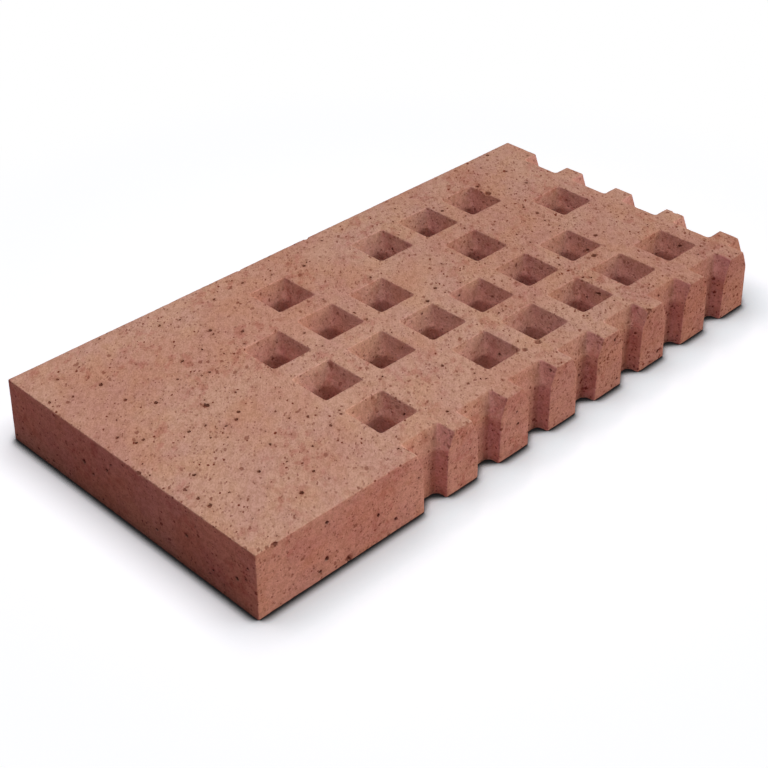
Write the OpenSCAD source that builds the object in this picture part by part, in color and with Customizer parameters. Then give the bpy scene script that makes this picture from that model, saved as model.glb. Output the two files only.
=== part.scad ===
// Border tile of a perforated paving system: one moulded, fired slab, lying on its bed face.
// A plain band runs along one end and one long side. From there a square lattice of flared
// holes opens up, and the two joint sides cut through the lattice, so that two laid tiles
// make whole holes between them.
// +X runs from the plain end to the notched end, +Y from the notched long side to the plain
// one, +Z up. The origin is the middle of the bed face. Sizes are millimetres.

/* [Slab] */
// Length of the bed face, along X
tile_length = 598; // [500:1:720]
// Width of the bed face, along Y
tile_width = 298; // [245:1:360]
// Thickness, from the bed face to the walking face
tile_thick = 58; // [46:1:72]
// Lean of the outer sides and of the shaft walls, in degrees, that lets the slab leave its mould
draft = 1.4; // [0:0.1:2.5]
// Radius of the four upright corners
corner_r = 1; // [0.5:0.5:8]
// Size of the rounding along the outer edges
arris = 1.2; // [0.4:0.1:3]

/* [Lattice] */
// Pitch of the holes, along and across
pitch = 60; // [54:0.5:74]
// Joint between the bed faces of two laid tiles, which the half holes are centred on
joint = 2; // [0:0.5:8]
// Least plain width left between the mouth of a hole and the plain end or side
plain_band = 12; // [6:1:40]

/* [Hole] */
// Width of the square mouth, where the flared walls meet the walking face
mouth_w = 40.4; // [33:0.2:44]
// Corner radius of the mouth
mouth_r = 2.6; // [1:0.1:6]
// How far the rounded lip of the mouth reaches past the mouth and down its walls
lip = 1.2; // [0.3:0.1:2]
// Depth of the flared part
flare_depth = 16.4; // [10:0.2:24]
// Width of the square shaft, where the flare ends
shaft_w = 26.4; // [18:0.2:31]
// Corner radius of the shaft
shaft_r = 6; // [2:0.2:8]
// How far the bend between flare and shaft reaches up and down the wall
shoulder = 2.4; // [0.5:0.1:5]

/* [Hidden] */

// The cells of the lattice that are open, one row for each line of holes along X. Row 0 lies
// on the notched side, cell 0 on the notched end, and the numbers count whole pitches.
OPEN_CELLS = [
    [0, 1, 2, 3, 4, 5, 6, 7],
    [0, 1, 2, 3, 4, 5, 7],
    [0, 2, 3, 4, 5, 6, 7],
    [0, 1, 3, 5, 6, 7],
    [0, 2, 3, 4, 6]
];

corner_steps = 4;
bend_steps = 2;
overcut = 1;
terracotta = [0.70, 0.48, 0.39];

// How far a drafted wall leans over one millimetre of height
lean = tan(draft);
// The joint corner of the lattice: the middle of the quarter hole
lattice_x = (tile_length + joint) / 2;
lattice_y = -(tile_width + joint) / 2;
// Half the mouth with its lip, and the room that a hole needs to the plain end and side
mouth_reach = mouth_w / 2 + lip;
hole_room = mouth_reach + plain_band;
// Furthest that a hole may stand from the joint corner, along and across
reach_x = tile_length + joint / 2 - tile_thick * lean - hole_room;
reach_y = tile_width + joint / 2 - tile_thick * lean - hole_room;

// A level section is [half length, half width, corner radius, height].
// Its outline, counter-clockwise, has the same number of points at every size.
function outline(section) =
    let (r = section[2], dx = section[0] - r, dy = section[1] - r)
    [
        for (quarter = [0 : 3], step = [0 : corner_steps])
            let (
                angle = 90 * (quarter + step / corner_steps),
                side_x = quarter == 0 || quarter == 3 ? 1 : -1,
                side_y = quarter < 2 ? 1 : -1
            )
            [side_x * dx + r * cos(angle), side_y * dy + r * sin(angle), section[3]]
    ];

// The section that lies the given distance from one section towards another, at most half way
function towards(from, to, reach) = from + (to - from) * min(0.5, reach / norm(to - from));

// Sections of a smooth bend that replaces the sharp one at the middle section
function bend(before, middle, after, reach) =
    let (start = towards(middle, before, reach), end = towards(middle, after, reach))
    [
        for (step = [0 : bend_steps])
            let (t = step / bend_steps)
            (1 - t) * (1 - t) * start + 2 * t * (1 - t) * middle + t * t * end
    ];

// A closed solid through level sections, listed from the lowest to the highest
module loft(sections) {
    count = 4 * (corner_steps + 1);
    last = (len(sections) - 1) * count;
    points = [for (section = sections) each outline(section)];
    floor_face = [for (i = [0 : count - 1]) i];
    roof_face = [for (i = [0 : count - 1]) last + count - 1 - i];
    walls = [
        for (base = [0 : count : last - 1], i = [0 : count - 1])
            let (j = (i + 1) % count)
            [base + i, base + count + i, base + count + j, base + j]
    ];
    polyhedron(points = points, faces = concat([floor_face], walls, [roof_face]), convexity = 4);
}

// The slab without its holes: leaning sides between a rounded bed edge and a rounded top edge
module slab() {
    bed = [tile_length / 2, tile_width / 2, corner_r, 0];
    inward = [1, 1, 0, 0];
    up = [0, 0, 0, 1];
    top = bed + tile_thick * (up - lean * inward);
    bed_inside = bed - 4 * arris * inward;
    top_inside = top - 4 * arris * inward;
    loft(concat(
        bend(bed_inside, bed, top, arris),
        bend(bed, top, top_inside, arris)
    ));
}

// What one hole takes out of the slab: a leaning shaft, a flare above it and a rounded lip
module hole_cut() {
    shaft_drop = tile_thick - flare_depth + overcut;
    foot_half = shaft_w / 2 - lean * shaft_drop;
    neck_half = shaft_w / 2;
    mouth_half = mouth_w / 2;
    foot = [foot_half, foot_half, shaft_r, -overcut];
    neck = [neck_half, neck_half, shaft_r, tile_thick - flare_depth];
    mouth = [mouth_half, mouth_half, mouth_r, tile_thick];
    outside = mouth + 4 * lip * [1, 1, 1, 0];
    lip_bend = bend(neck, mouth, outside, lip);
    rim = lip_bend[bend_steps];
    loft(concat([foot], bend(foot, neck, mouth, shoulder), lip_bend, [rim + [0, 0, 0, overcut]]));
}

// The whole tile. An open cell is cut where the plain end and side keep their least width.
module tile() {
    color(terracotta)
    difference() {
        slab();
        for (row = [0 : len(OPEN_CELLS) - 1], cell = OPEN_CELLS[row])
            if (cell * pitch <= reach_x && row * pitch <= reach_y)
                translate([lattice_x - cell * pitch, lattice_y + row * pitch, 0])
                    hole_cut();
    }
}

tile();
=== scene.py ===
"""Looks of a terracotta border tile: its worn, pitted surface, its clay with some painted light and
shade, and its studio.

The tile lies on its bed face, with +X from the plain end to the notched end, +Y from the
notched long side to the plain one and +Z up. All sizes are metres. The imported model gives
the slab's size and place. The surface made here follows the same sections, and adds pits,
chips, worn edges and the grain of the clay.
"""

import math

import bmesh
import bpy
import numpy as np
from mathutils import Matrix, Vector, noise
from mathutils.geometry import delaunay_2d_cdt


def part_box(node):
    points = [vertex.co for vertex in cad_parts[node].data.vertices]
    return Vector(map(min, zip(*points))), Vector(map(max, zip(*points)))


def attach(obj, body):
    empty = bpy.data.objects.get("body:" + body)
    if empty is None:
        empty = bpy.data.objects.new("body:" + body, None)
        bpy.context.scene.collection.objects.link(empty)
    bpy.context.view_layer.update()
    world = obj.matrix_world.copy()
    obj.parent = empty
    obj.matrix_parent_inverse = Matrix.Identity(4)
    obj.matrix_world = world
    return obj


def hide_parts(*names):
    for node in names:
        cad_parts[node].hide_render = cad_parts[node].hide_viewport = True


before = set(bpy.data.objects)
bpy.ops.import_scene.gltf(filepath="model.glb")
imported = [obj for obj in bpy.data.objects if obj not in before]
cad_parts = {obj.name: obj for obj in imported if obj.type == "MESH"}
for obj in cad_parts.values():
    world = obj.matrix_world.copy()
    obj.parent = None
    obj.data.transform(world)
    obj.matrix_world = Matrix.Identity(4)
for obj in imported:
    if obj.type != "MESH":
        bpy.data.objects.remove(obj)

bl_info = {
    "name": "Terracotta Border Tile",
    "version": (1, 0, 0),
    "blender": (4, 5, 0),
    "location": "3D View > Sidebar > Border Tile",
    "description": "Models and finishes a perforated border tile of fired clay",
    "category": "Add Mesh",
}

MM = 0.001
DECIMETRE = 100 * MM
NODE = "tile"
LOWEST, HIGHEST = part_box(NODE)
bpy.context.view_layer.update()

# Open cells of the lattice, one row for each line of holes along X. Row 0 lies on the
# notched side, cell 0 on the notched end, and the numbers count whole pitches.
OPEN_CELLS = (
    (0, 1, 2, 3, 4, 5, 6, 7),
    (0, 1, 2, 3, 4, 5, 7),
    (0, 2, 3, 4, 5, 6, 7),
    (0, 1, 3, 5, 6, 7),
    (0, 2, 3, 4, 6),
)
# The same as pairs (row, cell)
CELLS = [(row, cell) for row, cells in enumerate(OPEN_CELLS) for cell in cells]

# Places (x, y, z) and radii of the pits and chips that stand out, in millimetres
LARGE_PITS = (
    (-210, 10, 58, 3.2), (-230, -120, 58, 2.4), (-140, 90, 58, 2.4), (-235, 40, 58, 2.2),
    (-285, -85, 58, 2.4), (-250, 90, 58, 2.2), (-235, -80, 58, 1.8), (-205, -20, 58, 2.0),
    (-275, 92, 58, 1.6), (-270, 120, 58, 1.7), (-283, 25, 58, 1.8), (-277, 10, 58, 1.7),
    (20, -5, 58, 2.2), (40, 5, 58, 2.0), (205, 105, 58, 2.2), (180, -57, 58, 3.0),
    (210, -35, 58, 2.4), (205, 30, 58, 2.2),
    (-235, -149, 16, 2.6), (-233, -148, 48, 2.0), (-228, -148, 39, 2.4),
    (-221, -148, 44, 1.7), (-164, -149, 8, 1.8),
    (-298, 50, 30, 2.6), (-298, -72, 31, 1.9), (-298, -126, 25, 2.3), (-299, -122, 16, 1.6),
)
CHIPS = (
    (-280, -148, 57, 3.4), (-212, -149, 3, 3.2), (202, 89, 58, 3.8), (38, -112, 58, 3.2),
    (22, -112, 58, 2.6), (20, 148, 58, 3.4), (-298, -20, 58, 3.0), (141, -147, 58, 4.0),
    (-60, 148, 58, 2.6), (298, -60, 58, 3.4),
)

# Steps of a bend in a section and of a round corner, and rows of points on flare and shaft
BEND_STEPS = 4
ARC_STEPS = 4
FLARE_ROWS = 4
SHAFT_ROWS = 8
# How far the flat part beside a bend is drawn, in sizes of the bend
FLAT_REACH = 4
# Points nearer than this are one point
WELD = 0.001 * MM
# Rise of a row of an even triangular grid, and how far its points are shaken, in steps
HEX_RISE = math.sqrt(3) / 2
JITTER = 0.2
# Angle between two faces from which the edge between them is shaded as a sharp one
SHARP_ANGLE = math.radians(34)

# Points round a small pit and a large one, and the radius that parts the two
FEW_SIDES, MANY_SIDES = 6, 9
LARGE_RADIUS = 1.05 * MM
# Longest reach of a pit's rim, in half lengths, and the land left round it
PIT_REACH = 1.2
PIT_MARGIN = 0.4 * MM
# Room that the loose points of a face leave to its edges
EDGE_MARGIN = 1.5 * MM
# Most that a pit is drawn out and curled, and how far the listed ones are drawn out
MOST_STRETCH = 1.6
MOST_CURL = 0.5
LISTED_STRETCH = 1.1
# Shake of a rim's points, in steps round the pit, and what keeps a curled pit centred
RIM_SHAKE = 0.3
CURL_CENTRE = 0.35
# Ranges of the distance of a rim's points and of the depth, in radii, and of the darkening, which
# is stain and painted shade
RIM_RANGE = (0.72, 1.1)
DEPTH_RANGE = (0.7, 1.2)
SMALL_STAIN_AND_SHADE = (0.25, 0.9)
LARGE_STAIN_AND_SHADE = (0.8, 1)
# Width and depth of the foot of a large pit's wall, and darkening at a rim, as shares of the pit's
WALL_SHARE = 0.72
WALL_DEPTH = 0.8
RIM_STAIN_AND_SHADE = 0.25

# How far outside the surface the ball stands that bites out a chip, in radii
CHIP_STANDOFF = 0.35
# How far from a chip's middle points are set closely, in radii, and their room to an edge,
# in steps
CHIP_REACH = 1.3
CHIP_ROOM = 0.4
# Unevenness of a chip's floor as a share of its depth, and its darkening, stain and painted shade,
# even and uneven
CRUMB_DEPTH = 0.4
CHIP_STAIN_AND_SHADE = 0.8
CRUMB_STAIN_AND_SHADE = 0.3

# Waves to the metre of crumbly clouds, drying, worn edges, nicks in them and crumbs
CLOUD_WAVES = 16
DRYING_WAVES = 13
WEAR_WAVES = 170
NICK_WAVES = 420
CRUMB_WAVES = 700
# Shifts that give the wear and the nicks waves of their own
WEAR_SHIFT = (9, 3, 5)
NICK_SHIFT = (2, 7, 1)
# Depth of the nicks, and wear of the soundest clay, as shares of the wear of an edge
NICK_SHARE = 0.5
SOUND_WEAR = 0.5
# Turn of the surface, as one less its cosine, from which an edge wears in full
EDGE_TURN = 0.02
# Crumbliness: its mean, the swing of its clouds, its rise to the notched end and to the
# notched side, and its least
CRUMBLY_MEAN = 0.66
CRUMBLY_CLOUD = 0.45
CRUMBLY_ALONG = 0.14
CRUMBLY_ACROSS = 0.08
CRUMBLY_LEAST = 0.15
# How far beyond its outline a hole's painted shade and painted fill light reach, and how high
# drying leaves the bed flat
HOLE_MARGIN = 0.3 * MM
BED_MARGIN = 2 * MM
# How much of the hole's painted shade tint the flare of a notch shows, and how much of it fades
# with depth
NOTCH_HOLLOW = 0.7
HOLLOW_FADE = 0.5
# Least part of a normal along a direction with which a wall counts as facing it
FACING = 0.5

# Width of the camera's sensor, in its own millimetres, and of the floor
SENSOR_WIDTH = 36
FLOOR_SIZE = 12
# How far the clay's grain is drawn out along a diagonal
DRAWN_OUT = 1.5
# Part of a noise's range over which blotches rise from 0 to 1
BLOTCH_RANGE = (0.3, 0.7)
# Waves of a speck's ragged outline to a cell, and how far they push it, in cells
SPECK_WAVES = 2.2
SPECK_PUSH = 0.5
# Ranges of the specks' sizes, of the edge that they fade along and of their strengths
SPECK_SIZES = (0.45, 1)
SPECK_EDGE = (0.55, 1)
SPECK_STRENGTHS = (0.4, 1)
# Places along X between which the clay turns into that of the notched end: its coarser specks, and
# its painted shade
NOTCHED_HALF = (-0.15, 0.15)
# Upward parts of a normal between which a side turns into the walking face
UPWARD = (0.15, 0.85)
# Clouds of the clay: size in millimetres, place in the pattern, tones they rise between
CLOUDS = {
    "flash": (85, 0, 0.25, 0.95), "pink": (26, 3, 0.35, 0.95), "ochre": (34, 6, 0.4, 0.95),
}
# Shares of the coarse and the fine part of the grain, and how strongly it moves each channel
COARSE_GRAIN, FINE_GRAIN = 0.46, 0.54
WARMTH = {"Red": 0.85, "Green": 1.0, "Blue": 1.3}
# Darkness of specks on upright faces, from the plain half to the notched one, of specks and
# pits on sheltered walls, and of a pit's darkening, stain and painted shade
UPRIGHT_SPECKS = (0.75, 0.92)
SHELTERED_SPECKS = 0.62
PIT_STAIN_AND_SHADE = 0.9
# Roughness where the grain is lowest and where it is highest, and the clay's faint sheen
ROUGHNESS = (0.82, 0.95)
SHEEN = 0.05
# Depth and strength of the relief that grain and specks have, and the grain's share of it
RELIEF_DEPTH = 0.5 * MM
RELIEF = 0.6
GRAIN_RELIEF = 0.5
# Distances from the middle between which the floor turns into plain white
OPEN_FLOOR = (0.4, 0.6)
# Directions in which the floor feels for the tile: straight up, from the notched sides and
# from the plain ones
UPRIGHT = (0, 0, 1)
FROM_NOTCHES = (-0.6, 0.8, 0.4)
FROM_PLAIN = (0.8, -0.6, 0.4)
# The floor's blue against its red and green
COOLNESS = 1.03


def srgb(red, green, blue):
    """Linear colour of a swatch whose channels go from 0 to 255."""
    shares = (channel / 255 for channel in (red, green, blue))
    return tuple(s / 12.92 if s <= 0.04045 else ((s + 0.055) / 1.055) ** 2.4 for s in shares)


# ---------------------------------------------------------------------------------------
# Settings
# ---------------------------------------------------------------------------------------


class TileForm(bpy.types.PropertyGroup):
    """Sizes of the slab and its lattice of flared holes"""

    length: bpy.props.FloatProperty(
        name="Length", description="Length of the bed face",
        default=round(HIGHEST.x - LOWEST.x, 3), unit="LENGTH",
    )
    width: bpy.props.FloatProperty(
        name="Width", description="Width of the bed face",
        default=round(HIGHEST.y - LOWEST.y, 3), unit="LENGTH",
    )
    thickness: bpy.props.FloatProperty(
        name="Thickness", description="Height of the walking face above the bed face",
        default=round(HIGHEST.z - LOWEST.z, 3), unit="LENGTH",
    )
    draft: bpy.props.FloatProperty(
        name="Draft", description="Lean of the outer sides and of the shaft walls",
        default=math.radians(1.4), subtype="ANGLE",
    )
    corner_radius: bpy.props.FloatProperty(
        name="Corner radius", description="Radius of the slab's upright corners",
        default=1 * MM, unit="LENGTH",
    )
    tooth_radius: bpy.props.FloatProperty(
        name="Tooth radius", description="Radius of the upright edges between the notches",
        default=0.9 * MM, unit="LENGTH",
    )
    arris: bpy.props.FloatProperty(
        name="Arris", description="Size of the rounding along the outer edges",
        default=1.2 * MM, unit="LENGTH",
    )
    pitch: bpy.props.FloatProperty(
        name="Pitch", description="Distance between holes, along and across",
        default=60 * MM, unit="LENGTH",
    )
    joint: bpy.props.FloatProperty(
        name="Joint", description="Joint between two laid tiles, which half holes centre on",
        default=2 * MM, unit="LENGTH",
    )
    mouth_width: bpy.props.FloatProperty(
        name="Mouth width", description="Width of a hole at the walking face",
        default=40.4 * MM, unit="LENGTH",
    )
    mouth_radius: bpy.props.FloatProperty(
        name="Mouth radius", description="Corner radius of a hole's mouth",
        default=2.6 * MM, unit="LENGTH",
    )
    lip: bpy.props.FloatProperty(
        name="Lip", description="Reach of the rounded lip round a mouth",
        default=1.2 * MM, unit="LENGTH",
    )
    flare_depth: bpy.props.FloatProperty(
        name="Flare depth", description="Depth of the flared part of a hole",
        default=16.4 * MM, unit="LENGTH",
    )
    shaft_width: bpy.props.FloatProperty(
        name="Shaft width", description="Width of a hole below its flare",
        default=26.4 * MM, unit="LENGTH",
    )
    shaft_radius: bpy.props.FloatProperty(
        name="Shaft radius", description="Corner radius of a hole's shaft",
        default=6 * MM, unit="LENGTH",
    )
    shoulder: bpy.props.FloatProperty(
        name="Shoulder", description="Reach of the bend between flare and shaft",
        default=2.4 * MM, unit="LENGTH",
    )


class TileWear(bpy.types.PropertyGroup):
    """How fine and how worn the modelled surface is"""

    seed: bpy.props.IntProperty(
        name="Seed", description="Start of every random draw", default=11,
    )
    edge_step: bpy.props.FloatProperty(
        name="Edge step", description="Spacing of points along the edges",
        default=2.8 * MM, unit="LENGTH",
    )
    chip_step: bpy.props.FloatProperty(
        name="Chip step", description="Spacing of points in and beside the chips",
        default=0.9 * MM, unit="LENGTH",
    )
    face_step: bpy.props.FloatProperty(
        name="Face step", description="Spacing of points over the visible faces",
        default=4.4 * MM, unit="LENGTH",
    )
    bed_step: bpy.props.FloatProperty(
        name="Bed step", description="Spacing of points over the bed face",
        default=9 * MM, unit="LENGTH",
    )
    pit_density: bpy.props.FloatProperty(
        name="Pit density", description="Pits on each square decimetre of crumbly clay",
        default=90,
    )
    pit_radius: bpy.props.FloatProperty(
        name="Pit radius", description="Radius of the smallest modelled pit",
        default=0.5 * MM, unit="LENGTH",
    )
    pit_spread: bpy.props.FloatProperty(
        name="Pit spread", description="Mean of what a pit's radius has beyond the smallest",
        default=0.3 * MM, unit="LENGTH",
    )
    pit_limit: bpy.props.FloatProperty(
        name="Pit limit", description="Radius of the largest pit that is drawn by lot",
        default=1.9 * MM, unit="LENGTH",
    )
    swell: bpy.props.FloatProperty(
        name="Swell", description="Depth of the slow waves that drying leaves in a face",
        default=0.25 * MM, unit="LENGTH",
    )
    ragged: bpy.props.FloatProperty(
        name="Ragged edge", description="Depth of the fine wear along the edges",
        default=0.28 * MM, unit="LENGTH",
    )


class TileFinish(bpy.types.PropertyGroup):
    """Colours, grain and specks of the fired clay"""

    # The walking face's paler clay and the sides' redder clay are lit and shaded copies of one
    # clay: painted light and shade, as less lit faces look redder
    lit_top_clay: bpy.props.FloatVectorProperty(
        name="Walking face", description="Clay of the pale, dusty walking face",
        subtype="COLOR", size=3, min=0, max=1, default=srgb(183, 139, 119),
    )
    shaded_side_clay: bpy.props.FloatVectorProperty(
        name="Fired side", description="Redder clay of the sides and the hole walls",
        subtype="COLOR", size=3, min=0, max=1, default=srgb(191, 142, 117),
    )
    # Painted fill light: a paler, greyer colour that lightens the clay deep in the holes
    shaft: bpy.props.FloatVectorProperty(
        name="Shaft", description="Paler, greyer clay deep in the holes",
        subtype="COLOR", size=3, min=0, max=1, default=srgb(201, 149, 132),
    )
    # Painted shade: a redder tint on the hole walls that face the plain end, away from the key lamp
    hollow: bpy.props.FloatVectorProperty(
        name="Hole", description="What a hole's wall that faces the plain end keeps of its colour",
        subtype="COLOR", size=3, min=0, max=1, default=(0.98, 0.81, 0.92),
    )
    # Painted shade: the notched half is a little darker, as the light falls off towards that end
    notched_half_shade: bpy.props.FloatVectorProperty(
        name="Notched end", description="What the notched half keeps of its colour",
        subtype="COLOR", size=3, min=0, max=1, default=(0.925, 0.93, 0.93),
    )
    # Painted shade: the notched half's walls along the length are darker, as the light falls off
    # there
    notched_side_shade: bpy.props.FloatVectorProperty(
        name="Notched side", description="What that half's walls along the length keep of it",
        subtype="COLOR", size=3, min=0, max=1, default=(0.93, 0.91, 0.91),
    )
    # Pits and specks mix to this dark clay: the specks are the clay's own, and the darkening of
    # pits and chips is partly stain and partly painted shade
    pit: bpy.props.FloatVectorProperty(
        name="Pit", description="Dark clay inside the pits",
        subtype="COLOR", size=3, min=0, max=1, default=srgb(108, 50, 34),
    )
    flash: bpy.props.FloatVectorProperty(
        name="Flash", description="What a hotter, redder part of the face keeps of its colour",
        subtype="COLOR", size=3, min=0, max=1, default=(0.94, 0.85, 0.84),
    )
    pink: bpy.props.FloatVectorProperty(
        name="Pink cloud", description="What a pinkish cloud keeps of the colour",
        subtype="COLOR", size=3, min=0, max=1, default=(0.97, 0.95, 1.0),
    )
    ochre: bpy.props.FloatVectorProperty(
        name="Ochre cloud", description="What an ochre cloud keeps of the colour",
        subtype="COLOR", size=3, min=0, max=1, default=(1.0, 0.98, 0.92),
    )
    smudge: bpy.props.FloatVectorProperty(
        name="Smudge", description="What a smudge of darker clay keeps of the colour",
        subtype="COLOR", size=3, min=0, max=1, default=(0.86, 0.72, 0.72),
    )
    grain_contrast: bpy.props.FloatProperty(
        name="Grain contrast", description="How far the fine grain lightens and darkens",
        default=0.13,
    )
    speck_share: bpy.props.FloatProperty(
        name="Speck share", description="Share of the cells of crumbly clay that hold a speck",
        default=1.0,
    )


class StageSettings(bpy.types.PropertyGroup):
    """Camera, lamps and floor"""

    lens: bpy.props.FloatProperty(
        name="Lens", description="Focal length, in millimetres on a 36 mm sensor", default=71.46,
    )
    azimuth: bpy.props.FloatProperty(
        name="Azimuth", description="Turn of the view about Z, from looking along +Y",
        default=math.radians(-45), subtype="ANGLE",
    )
    elevation: bpy.props.FloatProperty(
        name="Elevation", description="Angle at which the camera looks down",
        default=math.radians(34.91), subtype="ANGLE",
    )
    distance: bpy.props.FloatProperty(
        name="Distance", description="Distance from the camera to the point it aims at",
        default=1.2431, unit="LENGTH",
    )
    aim: bpy.props.FloatVectorProperty(
        name="Aim", description="Place of that point, from the middle of the tile",
        default=(-0.0636, -0.0367, 0.0), subtype="TRANSLATION", unit="LENGTH",
    )
    key: bpy.props.FloatProperty(
        name="Key", description="Share of the walking face's light that the key lamp gives",
        default=0.23,
    )
    key_azimuth: bpy.props.FloatProperty(
        name="Key azimuth", description="Where the key lamp stands, turned from +X",
        default=math.radians(-43), subtype="ANGLE",
    )
    key_elevation: bpy.props.FloatProperty(
        name="Key elevation", description="Height of the key lamp above the horizon",
        default=math.radians(22), subtype="ANGLE",
    )
    key_distance: bpy.props.FloatProperty(
        name="Key distance", description="Distance of the key lamp", default=6.0, unit="LENGTH",
    )
    key_size: bpy.props.FloatProperty(
        name="Key size", description="Width of the key lamp", default=4.6, unit="LENGTH",
    )
    overhead: bpy.props.FloatProperty(
        name="Overhead", description="Share of that light that the overhead lamp gives",
        default=0.8,
    )
    overhead_distance: bpy.props.FloatProperty(
        name="Overhead distance", description="Height of the overhead lamp", default=2.5,
        unit="LENGTH",
    )
    overhead_size: bpy.props.FloatProperty(
        name="Overhead size", description="Width of the overhead lamp", default=2.7,
        unit="LENGTH",
    )
    sky: bpy.props.FloatVectorProperty(
        name="Sky", description="Even light from all round, as a share of full light",
        subtype="COLOR", size=3, min=0, max=1, default=(0.015, 0.02, 0.03),
    )
    bounce: bpy.props.FloatVectorProperty(
        name="Bounce", description="Colour of the floor as the tile's clay sees it",
        subtype="COLOR", size=3, min=0, max=1, default=(0.72, 0.345, 0.45),
    )
    # Painted shadow: the floor as the tile feels it is dimmer close to the plain end and side,
    # which darkens the tile's sides towards the bottom
    near_bounce: bpy.props.FloatVectorProperty(
        name="Near bounce", description="The same close beside the plain end and side",
        subtype="COLOR", size=3, min=0, max=1, default=(0.12, 0.0, 0.02),
    )
    bounce_reach: bpy.props.FloatProperty(
        name="Bounce reach", description="Width of that dimmer floor",
        default=80 * MM, unit="LENGTH",
    )
    floor_white: bpy.props.FloatProperty(
        name="Floor white", description="Gain that makes the open floor white", default=1.27,
    )
    # Painted shadow: a dark line on the floor along the tile's foot, from ambient occlusion
    contact_reach: bpy.props.FloatProperty(
        name="Contact reach", description="Width of the dark line under the tile's edge",
        default=11 * MM, unit="LENGTH",
    )
    contact_grey: bpy.props.FloatProperty(
        name="Contact grey", description="How light that line is next to the tile",
        default=0.035,
    )
    shade: bpy.props.FloatVectorProperty(
        name="Shade", description="What the notched side's shade leaves of the floor's colour",
        subtype="COLOR", size=3, min=0, max=1, default=(0.735, 0.795, 0.80),
    )
    shade_reach: bpy.props.FloatProperty(
        name="Shade reach", description="Width of that shade", default=48 * MM, unit="LENGTH",
    )


# ---------------------------------------------------------------------------------------
# Sections and outlines
# ---------------------------------------------------------------------------------------


def towards(start, goal, reach):
    """The section a given distance from one section towards another, at most half way."""
    step = goal - start
    return start + step * min(0.5, reach / np.linalg.norm(step))


def bend(before, middle, after, reach):
    """Sections of a smooth bend that replaces the sharp one at the middle section."""
    start = towards(middle, before, reach)
    end = towards(middle, after, reach)
    t = np.linspace(0, 1, BEND_STEPS + 1)[:, None]
    return (1 - t) ** 2 * start + 2 * t * (1 - t) * middle + t ** 2 * end


def slab_sections(form):
    """Sections (half length, half width, corner radius, height) of the slab, bed to top."""
    bed = np.array([form.length / 2, form.width / 2, form.corner_radius, 0])
    inward = np.array([1, 1, 0, 0])
    up = np.array([0, 0, 0, 1])
    top = bed + form.thickness * (up - math.tan(form.draft) * inward)
    inset = FLAT_REACH * form.arris * inward
    return np.concatenate([
        bend(bed - inset, bed, top, form.arris),
        bend(bed, top, top - inset, form.arris),
    ])


def hole_sections(form):
    """Sections of a hole, from the foot of its shaft to the rim of its lip."""
    drop = form.thickness - form.flare_depth
    neck_half = form.shaft_width / 2
    foot_half = neck_half - math.tan(form.draft) * drop
    mouth_half = form.mouth_width / 2
    foot = np.array([foot_half, foot_half, form.shaft_radius, 0])
    neck = np.array([neck_half, neck_half, form.shaft_radius, drop])
    mouth = np.array([mouth_half, mouth_half, form.mouth_radius, form.thickness])
    outside = mouth + FLAT_REACH * form.lip * np.array([1, 1, 1, 0])
    return np.concatenate([
        foot[None, :],
        bend(foot, neck, mouth, form.shoulder),
        bend(neck, mouth, outside, form.lip),
    ])


def section_at(sections, height):
    """(half length, half width, corner radius) of a profile at a height."""
    return [np.interp(height, sections[:, 3], sections[:, k]) for k in range(3)]


def cell_place(form, row, cell):
    """Middle of a cell of the lattice."""
    corner_x = (form.length + form.joint) / 2
    corner_y = -(form.width + form.joint) / 2
    return corner_x - cell * form.pitch, corner_y + row * form.pitch


def slab_corners(form, slab, hole, height):
    """Corners (x, y, radius) of the notched outer outline at a height, anticlockwise."""
    half_x, half_y, corner_radius = section_at(slab, height)
    half, _, hole_radius = section_at(hole, height)
    tooth = form.tooth_radius
    corners = [(-half_x, -half_y, corner_radius)]
    for cell in sorted(OPEN_CELLS[0], reverse=True):
        x, y = cell_place(form, 0, cell)
        corners += [(x - half, -half_y, tooth), (x - half, y + half, hole_radius)]
        if cell:
            corners += [(x + half, y + half, hole_radius), (x + half, -half_y, tooth)]
    corners.append((half_x, y + half, tooth))
    for row in range(1, len(OPEN_CELLS)):
        x, y = cell_place(form, row, 0)
        corners += [(half_x, y - half, tooth), (x - half, y - half, hole_radius)]
        corners += [(x - half, y + half, hole_radius), (half_x, y + half, tooth)]
    corners += [(half_x, half_y, corner_radius), (-half_x, half_y, corner_radius)]
    return np.array(corners)


def hole_corners(form, hole, place, height):
    """Corners of one hole at a height, clockwise, so that its wall faces inwards."""
    half, _, radius = section_at(hole, height)
    x, y = place
    signs = ((-1, -1), (-1, 1), (1, 1), (1, -1))
    return np.array([(x + half * side_x, y + half * side_y, radius) for side_x, side_y in signs])


def unit(steps):
    """Steps of length 1 in the given directions."""
    return steps / np.linalg.norm(steps, axis=-1, keepdims=True)


def outline(corners, runs):
    """Points of an outline with round corners, and runs[i] steps along side i."""
    points = corners[:, :2]
    radius = corners[:, 2, None]
    back = unit(np.roll(points, 1, axis=0) - points)
    ahead = unit(np.roll(points, -1, axis=0) - points)
    centre = points + radius * (back + ahead)
    angles = np.linspace(0, math.pi / 2, ARC_STEPS + 1)
    arcs = np.stack([
        centre - radius * (ahead * math.cos(angle) + back * math.sin(angle)) for angle in angles
    ], axis=1)
    result = []
    for i, run in enumerate(runs):
        start, end = arcs[i, -1], arcs[(i + 1) % len(runs), 0]
        share = np.arange(1, run)[:, None] / run
        result += [arcs[i], start + (end - start) * share]
    return np.concatenate(result)


def listed(marks):
    """Listed marks (x, y, z, radius) in metres."""
    return np.array(marks) * MM


def beside_chip(start, end):
    """Whether a side from one corner to the next passes a chip."""
    chips = listed(CHIPS)
    share = np.clip((chips[:, :2] - start) @ (end - start) / np.sum((end - start) ** 2), 0, 1)
    gaps = np.linalg.norm(start + share[:, None] * (end - start) - chips[:, :2], axis=1)
    return bool((gaps < chips[:, 3]).any())


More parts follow.
